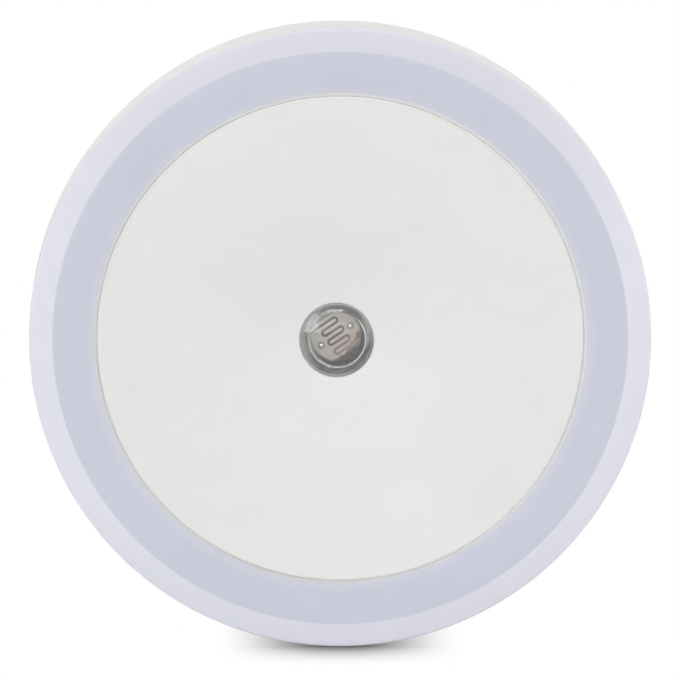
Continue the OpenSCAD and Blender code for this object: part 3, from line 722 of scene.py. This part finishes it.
def cell_film():
    """Thin metal film on ceramic: pinkish, greyer at the left and upper right, with a stain, and a
    painted shadow along its lower right edge.
    """
    look = Look("cell_film")
    cloud = look.noise(0.9, 4.0, twist=0.5)
    speckle = look.noise(0.1, 2.0)
    face = look.tone((0.93, 0.82, 0.755), 0.05, look.span(cloud, 0.3, 0.7))
    upper = look.span(look.along(48, SENSOR), 0.5, 2.0, 0.0, 0.85, smooth=True)
    left = look.span(look.along(185, SENSOR), 0.3, 1.9, 0.0, 0.9, smooth=True)
    face = look.blend(upper, face, (0.73, 0.7, 0.6))
    face = look.blend(left, face, (0.93, 0.89, 0.83))

    ragged = look.calc("SUBTRACT", look.noise(0.55, 4.0, rough=0.6), 0.5)
    red = look.calc("ADD", look.times(ragged, 0.9), look.along(-28, SENSOR))
    face = look.blend(look.span(red, 1.52, 1.8, smooth=True), face, (0.36, 0.15, 0.13))
    # Painted shadow: a dark patch along the lower right edge
    painted_edge_shadow = look.calc("ADD", look.times(ragged, 0.5), look.along(-56, SENSOR))
    face = look.blend(look.span(painted_edge_shadow, 1.75, 1.95, smooth=True), face, (0.13, 0.1, 0.09))
    for place in lead_places():
        ring = look.span(look.radius(place), 0.3, 0.48, 0.45, 0.0, smooth=True)
        face = look.blend(ring, face, (0.3, 0.27, 0.22))
    look.colour(face)
    look.rough(speckle, 0.4, 0.6)
    look.relief((cloud, 0.01), (speckle, 0.006))
    look.set(Metallic=0.1)


def cell_track():
    """Dark track, paler towards the lower right."""
    look = Look("cell_track")
    cloud = look.noise(0.5, 3.0)
    ragged = look.times(look.calc("SUBTRACT", cloud, 0.5), 1.5)
    fade = look.span(look.calc("ADD", look.along(-42, SENSOR), ragged), -0.4, 1.3, smooth=True)
    look.colour(look.blend(fade, (0.13, 0.085, 0.06), (0.5, 0.38, 0.35)))
    look.rough(cloud, 0.45, 0.65)
    look.relief((look.cells(0.05), 0.01))


def clear_resin():
    """Clear coating, made milky round its edge on the left: painted light over the dark gap there.
    """
    look = Look("clear_resin")
    pool = look.noise(1.2, 2.0)
    # Painted light: the left edge milky and pale
    edge = look.span(look.radius(SENSOR), CELL_R - 0.06, CELL_R, 0.0, 0.9)
    painted_gap_light = look.times(edge, look.span(look.along(205, SENSOR), 0.0, 1.6, smooth=True))
    look.colour(look.blend(painted_gap_light, look.tone((0.99, 0.98, 0.97), 0.01, pool), (0.92, 0.91, 0.89)))
    look.rough(pool, 0.02, 0.07)
    look.relief((pool, 0.015))
    look.clear(painted_gap_light)
    look.set(IOR=1.4)


def board_laminate():
    """White solder mask over the glass weave, with poured copper showing as low relief."""
    look = Look("board_laminate")
    weave = look.add("ShaderNodeTexWave", wave_type="BANDS", bands_direction="DIAGONAL")
    weave.inputs["Scale"].default_value = 0.35
    look.join(look.coords.outputs[0], weave.inputs["Vector"])
    pour = look.span(look.cells(5.0, "DISTANCE_TO_EDGE"), 0.04, 0.07)
    cloud = look.noise(4.0)
    bare = look.blend(pour, (0.74, 0.75, 0.7), (0.84, 0.84, 0.81))
    look.colour(look.blend(look.span(cloud, 0.35, 0.75, 0, 0.35), bare, (0.8, 0.79, 0.74)))
    look.rough(cloud, 0.28, 0.42)
    look.relief((pour, 0.035), (weave.outputs["Fac"], 0.004))


def led_phosphor():
    """Yellow phosphor in soft silicone."""
    look = Look("led_phosphor")
    cloud = look.noise(0.6)
    look.colour(look.blend(look.span(cloud, 0.3, 0.7), (0.82, 0.57, 0.05), (0.88, 0.68, 0.12)))
    look.rough(cloud, 0.25, 0.4)
    look.relief((cloud, 0.03), (look.cells(0.07), 0.01))
    look.set(Subsurface_Weight=0.2, Subsurface_Scale=0.2 * MM)


def dipped_epoxy():
    """Glossy dipped coating that sags and has a slight orange peel."""
    look = Look("capacitor_epoxy")
    peel = look.noise(1.1, 2.0)
    sag = look.noise(4.0, 2.0, (1, 0.3, 1))
    look.colour(look.tone((0.27, 0.05, 0.03), 0.18, look.span(sag, 0.3, 0.7)))
    look.rough(peel, 0.16, 0.28)
    look.relief((sag, 0.12), (peel, 0.04))
    look.set(Coat_Weight=0.4, Coat_Roughness=0.12)


def can_sleeve():
    """Shrunk sleeve with a pale stripe along the side of the can nearest the plug."""
    look = Look("can_sleeve")
    crinkle = look.noise(0.9, 3.0, (0.3, 1, 1))
    body = look.tone((0.02, 0.035, 0.12), 0.2, crinkle)
    stripe = look.span(look.axis("Y"), -24.3, -24.1)
    look.colour(look.blend(stripe, body, (0.5, 0.55, 0.62)))
    look.rough(crinkle, 0.2, 0.34)
    look.relief((crinkle, 0.03))


def diode_glass():
    """Amber glass with a dark band at its upper end."""
    look = Look("diode_glass")
    cloud = look.noise(0.5, 2.0)
    band = look.span(look.axis("Z"), 3.1, 3.2)
    look.colour(look.blend(band, look.tone((0.72, 0.3, 0.12), 0.1, cloud), (0.02, 0.02, 0.02)))
    look.rough(cloud, 0.06, 0.14)
    look.relief((cloud, 0.02))
    look.set(Transmission_Weight=0.6, IOR=1.5)


moulded("housing_plastic", (0.8, 0.805, 0.795), 0.42)
moulded("pin_sleeve_plastic", (0.028, 0.029, 0.032), 0.45, spread=0.2)
moulded("brown_insulation", (0.2, 0.08, 0.03), 0.4, spread=0.08)
moulded("blue_insulation", (0.05, 0.14, 0.42), 0.4, spread=0.08)
moulded("led_package", (0.82, 0.82, 0.79), 0.35, grain_size=0.08)
moulded("bung_rubber", (0.025, 0.025, 0.027), 0.7, grain=0.02, spread=0.25)
moulded("adhesive", (0.8, 0.78, 0.68), 0.55, grain=0.03, grain_size=0.4, spread=0.05)
moulded("package_epoxy", (0.022, 0.022, 0.024), 0.55, grain=0.015, grain_size=0.07, spread=0.3)
metal("pin_metal", (0.64, 0.61, 0.56), 0.24, stretch=(0.2, 3.0, 0.2))
metal("screw_steel", (0.52, 0.53, 0.56), 0.34, scratch=0.006)
metal("tinned_wire", (0.62, 0.63, 0.64), 0.3, size=0.2)
metal("can_aluminium", (0.7, 0.7, 0.71), 0.26, stretch=(0.2, 2.0, 2.0))
metal("solder", (0.58, 0.6, 0.61), 0.22, scratch=0.02, size=0.35)

BROWN = (0.15, 0.05, 0.02)
BLACK = (0.02, 0.02, 0.02)
YELLOW = (0.7, 0.5, 0.04)
GOLD = (0.5, 0.36, 0.12)
bleed_bands = [(-2.2, 0.25, BROWN), (-1.1, 0.22, BLACK), (-0.2, 0.22, YELLOW), (2.1, 0.25, GOLD)]
fuse_bands = [(-2.2, 0.3, BROWN), (-0.9, 0.28, BLACK), (0.3, 0.28, BLACK), (3.9, 0.3, GOLD)]
banded("bleed_lacquer", (0.62, 0.5, 0.3), bleed_bands, 0.35)
banded("fuse_lacquer", (0.12, 0.27, 0.2), fuse_bands, 0.5)

disc_look()
frosted()
window_look()
streaked_grey()
cell_ceramic()
cell_film()
cell_track()
clear_resin()
board_laminate()
led_phosphor()
dipped_epoxy()
can_sleeve()
diode_glass()

for node in nodes.values():
    for place in node.material_slots:
        place.material = looks[place.material.name.split(".")[0]].material


# ---------------------------------------------------------------- housing, diffuser and disc


def dish(inset, start, end):
    """The housing's round corner, drawn in by inset."""
    reach = (BODY_R - LAND_R - inset, Z_KNEE - Z_LAND - inset)
    return arc((LAND_R, Z_KNEE), *reach, start, end, DISH_STEPS)


z_rim = Z_SEAM - SEAM_GAP
z_bead = Z_SEAM - BEAD_DROP
rim_r = BODY_R - WALL
well_r = RECESS_R + WALL
shell = filleted(
    [
        (RECESS_R, Z_RECESS, 0.12),
        (RECESS_R, Z_LAND, 0.3),
        *dish(0, -90, 0),
        (BODY_R, z_rim, 0.2),
        (rim_r, z_rim, 0.08),
        (rim_r, z_bead + BEAD),
        (rim_r + BEAD, z_bead),
        (rim_r, z_bead - BEAD),
        *dish(WALL, 0, -90),
        (well_r, Z_LAND + WALL, 0.3),
        (well_r, Z_FLOOR, 0.3),
    ],
    closed=True,
)
hatch = crossings(box_outline(*HATCH), circle(1.0))
rings = [(circle(r), z) for r, z in shell]
housing = Form().loft([(hatch, Z_RECESS), *rings, (hatch, Z_FLOOR)], closed=True)
z_bore = Z_BOARD_TOP - POST_BORE
post = [(POST_R, Z_POST), (POST_R, Z_BOARD), (POST_BORE_R, Z_BOARD), (POST_BORE_R, z_bore)]
for turn in (30, 150, 270):
    bearing = math.radians(turn)
    at = (POST_RING_R * math.cos(bearing), POST_RING_R * math.sin(bearing))
    housing.lathe([*post, (0, z_bore), (0, Z_POST)], at, n=48)
housing.make("housing_shell", "rear_housing", "housing_plastic")

skin = filleted(
    [
        (POCKET_R, Z_POCKET, 0.1),
        (POCKET_R, Z_GROOVE, 0.02),
        (GROOVE_R, Z_GROOVE, 0.02),
        (GROOVE_R, Z_RING, 0.07),
        (LIP_R, Z_RING, 0.5),
        (BODY_R, Z_RING - LIP_DROP, 0.3),
        (BODY_R, Z_SEAM, 0.1),
        (TONGUE_R, Z_SEAM, 0.05),
        (TONGUE_R, z_bead + BEAD),
        (TONGUE_R + BEAD, z_bead),
        (TONGUE_R, z_bead - BEAD),
        (TONGUE_R, Z_TONGUE, 0.2),
        (UNDER_R, Z_TONGUE, 0.2),
        *CHAMBER,
    ],
    closed=True,
)
mouth = circle(DIFFUSER_HOLE_R, SENSOR)
rings = [(circle(r), z) for r, z in skin]
diffuser = Form().loft([(mouth, Z_POCKET), *rings, (mouth, Z_UNDER)], closed=True)
diffuser.make("diffuser_ring", "diffuser", "diffuser_plastic")

# A point past a line's end only gives the corner before it a direction, and is left off again
hole = [(SEAT_R, Z_DISC_BACK), (SEAT_R, Z_SEAT), (HOLE_R, Z_SEAT), (HOLE_R, Z_FRONT, 0.06)]
hole = filleted([*hole, (HOLE_R + 1, Z_FRONT)], closed=False)[:-1]
edge = [(DISC_R, Z_FRONT, DISC_EDGE), (DISC_R, Z_DISC_BACK, 0.1)]
edge = [(DISC_R - 1, Z_FRONT), *edge, (DISC_R - 1, Z_DISC_BACK)]
edge = filleted(edge, closed=False, steps=8)[1:-1]
rings = [(circle(r, SENSOR), z) for r, z in hole] + [(circle(r), z) for r, z in edge]
cover = Form().loft(rings, closed=True)
cover.make("front_cover", "front_disc", "disc_plastic")


# ---------------------------------------------------------------- plug

nose = []
for degrees in range(0, 91, 15):
    lean = math.radians(degrees)
    outline = plug_outline(PLUG_ROUND * (1 - math.sin(lean)))
    nose.append((outline, PLUG_ROUND * (1 - math.cos(lean))))
side = plug_outline(0)
cavity = plug_outline(PLUG_WALL)
hatch = crossings(box_outline(*HATCH), side)
rim = [(PLUG_FLANGE_R - 0.15, Z_FLANGE), (PLUG_FLANGE_R, Z_FLANGE + 0.15)]
rim.append((PLUG_FLANGE_R, Z_RECESS))
middle = [(0.0, 0.0)]
plug = Form().loft(
    [
        (middle, 0.0),
        *nose,
        (side, Z_FLANGE - PLUG_FLARE),
        (plug_outline(-PLUG_FLARE), Z_FLANGE),
        *[(circle_like(side, r), z) for r, z in rim],
        (hatch, Z_RECESS),
        (hatch, Z_FLANGE),
        (cavity, Z_FLANGE),
        (cavity, PLUG_FACE_T),
        (middle, PLUG_FACE_T),
    ]
)
boss = [(PIN_NECK_R, Z_BOSS), (BOSS_R, Z_BOSS), (BOSS_R, BOSS_TOP), (PIN_NECK_R, BOSS_TOP)]
screw_post = [
    (SCREW_BORE_R, SCREW_BORE),
    (SCREW_BORE_R, Z_BOSS),
    (SCREW_POST_R, Z_BOSS),
    (SCREW_POST_R, SCREW_POST_TOP),
    (SCREW_BORE_R, SCREW_POST_TOP),
]
for line, reach in ((boss, PIN_X), (screw_post, SCREW_X)):
    for x in (-reach, reach):
        plug.lathe(line, (x, 0.0), closed=True, n=64)
plug.make("plug_stub", "plug_body", "housing_plastic")

collar_r, collar_start, collar_end = PIN_COLLAR
cup_r, cup_floor, cup_end = PIN_CUP
pin_line = [
    *arc((0.0, PIN_TIP), PIN_R, PIN_R, -90, 0, 20),
    (PIN_R, PIN_SHOULDER - 0.15),
    (PIN_R - 0.1, PIN_SHOULDER),
    (PIN_NECK_R, PIN_SHOULDER),
    (PIN_NECK_R, collar_start),
    (collar_r, collar_start),
    (collar_r, collar_end),
    (PIN_NECK_R, collar_end),
    (PIN_NECK_R, cup_end),
    (cup_r, cup_end),
    (cup_r, cup_floor),
    (0.0, cup_floor),
]
sleeve_line = filleted(
    [
        (PIN_NECK_R, PIN_SHOULDER),
        (SLEEVE_R, PIN_SHOULDER, 0.12),
        (SLEEVE_R, SLEEVE_END),
        (PIN_NECK_R, SLEEVE_END),
    ],
    closed=True,
)
for x, hand in ((-PIN_X, "left"), (PIN_X, "right")):
    pin = Form().lathe(pin_line, (x, 0.0), n=96)
    pin.make(f"pin_{hand}", f"plug_pin_{hand}", "pin_metal")
    sleeve = Form().lathe(sleeve_line, (x, 0.0), closed=True, n=96)
    sleeve.make(f"sleeve_{hand}", f"pin_sleeve_{hand}", "pin_sleeve_plastic")


# ---------------------------------------------------------------- light sensor


def dished(reach, z, r):
    """A shallow dome's line from its middle at height z out to reach, with radius r."""
    steps = [reach * k / 12 for k in range(13)]
    return [(step, z - step**2 / (2 * r)) for step in steps]


window_line = filleted(
    [
        *dished(BORE_R - 0.1, Z_BORE_END, HOLLOW_R),
        (BORE_R, Z_BORE_EDGE),
        (BORE_R, Z_WINDOW_BACK, 0.1),
        (WINDOW_R, Z_WINDOW_BACK, 0.1),
        (WINDOW_R, Z_POCKET, 0.05),
        (WINDOW_FLANGE_R, Z_POCKET, 0.05),
        (WINDOW_FLANGE_R, Z_WINDOW_FLANGE, 0.05),
        (WINDOW_R, Z_WINDOW_FLANGE, 0.05),
        (WINDOW_R, Z_WINDOW_RIM, 0.06),
        *dished(DOME_REACH, Z_WINDOW, DOME_R)[::-1],
    ],
    closed=False,
    steps=6,
)
window = Form().lathe(window_line, SENSOR, n=160)
window.make("window_cap", "sensor_window", "window_plastic")

z_head = Z_CELL - 0.02
lead_line = [(0.0, Z_LEAD), (LEAD_R, Z_LEAD), (LEAD_R, z_head)]
lead_line += arc((0.0, z_head), *LEAD_HEAD, 0, 90, 8)
leads = Form()
for place in lead_places():
    leads.lathe(lead_line, place, n=40)
leads.make("cell_leads", "photocell_leads", "tinned_wire")


# ---------------------------------------------------------------- floor, light and camera


def background_rays(tree):
    """1 for the rays that show the background: from the camera, or mirrored or let through."""
    path = tree.nodes.new("ShaderNodeLightPath")
    share = path.outputs["Is Camera Ray"]
    for kind in ("Is Glossy Ray", "Is Transmission Ray"):
        most = tree.nodes.new("ShaderNodeMath")
        most.operation = "MAXIMUM"
        tree.links.new(share, most.inputs[0])
        tree.links.new(path.outputs[kind], most.inputs[1])
        share = most.outputs[0]
    return share


def mixed(tree, share, one, two):
    """The shader one where share is 0 and two where it is 1."""
    made = tree.nodes.new("ShaderNodeMixShader")
    tree.links.new(share, made.inputs[0])
    tree.links.new(one.outputs[0], made.inputs[1])
    tree.links.new(two.outputs[0], made.inputs[2])
    return made


def floor():
    """A pale floor under the rim. To the camera it is a painted contact shadow, dark grey round
    the contact over the cast shadow, and white further out.
    """
    half = FLOOR_HALF
    z = -BODY_R * MM
    corners = [(-half, -half, z), (half, -half, z), (half, half, z), (-half, half, z)]
    mesh = bpy.data.meshes.new("floor")
    mesh.from_pydata(corners, [], [(0, 1, 2, 3)])
    piece = bpy.data.objects.new("floor", mesh)
    bpy.context.scene.collection.objects.link(piece)

    look = Look("floor")
    tree = look.tree
    plain = look.add("ShaderNodeBsdfDiffuse")
    plain.inputs["Color"].default_value = (*[FLOOR_PLAIN] * 3, 1)
    shaded = look.add("ShaderNodeBsdfDiffuse")
    shaded.inputs["Color"].default_value = (*[FLOOR_SHADOW_GREY] * 3, 1)
    white = look.add("ShaderNodeEmission")
    # Painted contact shadow: the camera sees dark grey near the contact, fading to white
    ahead = look.calc("SUBTRACT", look.height(), Z_FRONT)
    behind = look.calc("SUBTRACT", Z_LAND, look.height())
    close = look.span(look.most(ahead, behind), 0.0, SHADE_REACH, 1.0, 0.0)
    aside = look.off(look.axis("X"), 0.0)
    beside = look.span(aside, 0.5, SHADE_SIDE, 0.95, 0.0, smooth=True)
    seen = mixed(tree, look.times(beside, look.calc("POWER", close, 2.0)), white, shaded)
    both = mixed(tree, background_rays(tree), plain, seen)
    look.join(both.outputs[0], tree.nodes["Material Output"].inputs["Surface"])
    tree.nodes.remove(look.shader)
    mesh.materials.append(look.material)


def surroundings(level):
    """A plain room that lights the object to the given level and shows as white."""
    made = bpy.data.worlds.new("surroundings")
    bpy.context.scene.world = made
    made.use_nodes = True
    tree = made.node_tree
    tree.nodes.clear()
    light = tree.nodes.new("ShaderNodeBackground")
    light.inputs["Strength"].default_value = level
    seen = tree.nodes.new("ShaderNodeBackground")
    for shade in (light, seen):
        shade.inputs["Color"].default_value = (1, 1, 1, 1)
    out = tree.nodes.new("ShaderNodeOutputWorld")
    mix = mixed(tree, background_rays(tree), light, seen)
    tree.links.new(mix.outputs[0], out.inputs["Surface"])


def softbox(name, place, size, level):
    """A soft lamp that lights a white surface facing it to the given level."""
    lamp = bpy.data.lights.new(name, "AREA")
    lamp.shape = "RECTANGLE"
    lamp.size, lamp.size_y = size
    made = bpy.data.objects.new(name, lamp)
    made.location = place
    aim = Vector(LIT_POINT) - Vector(place)
    made.rotation_euler = aim.to_track_quat("-Z", "Y").to_euler()
    lamp.energy = level * math.pi**2 * aim.length_squared
    bpy.context.scene.collection.objects.link(made)


def camera(azimuth, elevation, distance, lens, aim):
    """The scene's camera, at the given angles and distance from aim."""
    lens_data = bpy.data.cameras.new("camera")
    lens_data.lens = lens
    lens_data.sensor_width = 36
    lens_data.clip_start = 0.01
    made = bpy.data.objects.new("camera", lens_data)
    a, e = math.radians(azimuth), math.radians(elevation)
    away = Vector((math.sin(a) * math.cos(e), -math.cos(a) * math.cos(e), math.sin(e)))
    made.location = aim + away * distance
    made.rotation_euler = (-away).to_track_quat("-Z", "Y").to_euler()
    bpy.context.scene.collection.objects.link(made)
    bpy.context.scene.camera = made


floor()
surroundings(ROOM_LEVEL)
for name, lamp in LAMPS.items():
    softbox(name, *lamp)
camera(AZIMUTH, ELEVATION, DISTANCE, LENS, Vector(AIM) * MM)
bpy.context.scene.view_settings.view_transform = "Standard"
